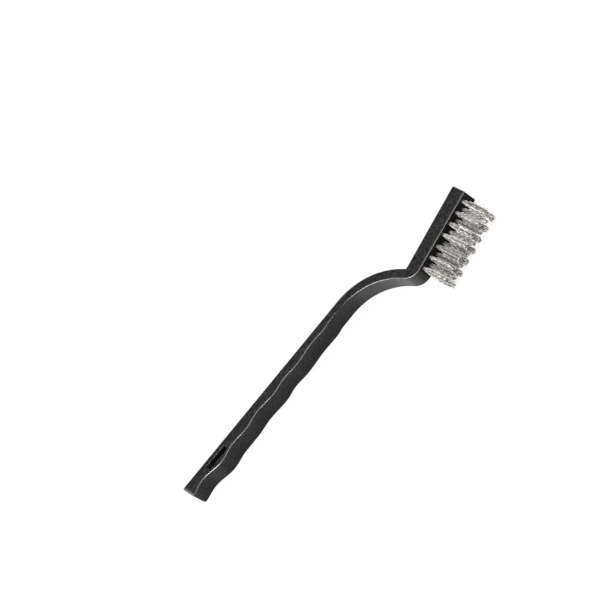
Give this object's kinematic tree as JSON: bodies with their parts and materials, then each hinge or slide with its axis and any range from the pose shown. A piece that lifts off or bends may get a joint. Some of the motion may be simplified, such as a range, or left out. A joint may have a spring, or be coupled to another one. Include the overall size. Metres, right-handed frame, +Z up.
{
  "type": "wire brush",
  "caption": "Small hand wire brush: wavy finger-grip handle with a hanging slot, a bent neck and a tilted head set with tufts of steel wire.",
  "frame": {"origin": "middle of the brush's underside as it lies on one side", "axes": "+X along the handle from the butt to the head, +Y from the bristles to the back, +Z up across the width"},
  "size_m": [0.1782, 0.0366, 0.0109],
  "materials": {
    "black_plastic": "moulded black plastic with a soft sheen and fine grain",
    "steel_wire": "drawn crimped steel wire with dark cut ends",
    "anchor_strip": "plain rolled metal strip"
  },
  "bodies": {
    "root": {"handle": "black_plastic", "tuft_a1": "steel_wire", "tuft_a2": "steel_wire", "tuft_a3": "steel_wire", "tuft_a4": "steel_wire", "tuft_a5": "steel_wire", "tuft_a6": "steel_wire", "tuft_a7": "steel_wire", "tuft_b1": "steel_wire", "tuft_b2": "steel_wire", "tuft_b3": "steel_wire", "tuft_b4": "steel_wire", "tuft_b5": "steel_wire", "tuft_b6": "steel_wire", "tuft_c1": "steel_wire", "tuft_c2": "steel_wire", "tuft_c3": "steel_wire", "tuft_c4": "steel_wire", "tuft_c5": "steel_wire", "tuft_c6": "steel_wire", "tuft_c7": "steel_wire", "anchor_a1": "anchor_strip", "anchor_a2": "anchor_strip", "anchor_a3": "anchor_strip", "anchor_a4": "anchor_strip", "anchor_a5": "anchor_strip", "anchor_a6": "anchor_strip", "anchor_a7": "anchor_strip", "anchor_b1": "anchor_strip", "anchor_b2": "anchor_strip", "anchor_b3": "anchor_strip", "anchor_b4": "anchor_strip", "anchor_b5": "anchor_strip", "anchor_b6": "anchor_strip", "anchor_c1": "anchor_strip", "anchor_c2": "anchor_strip", "anchor_c3": "anchor_strip", "anchor_c4": "anchor_strip", "anchor_c5": "anchor_strip", "anchor_c6": "anchor_strip", "anchor_c7": "anchor_strip"}
  },
  "joints": []
}
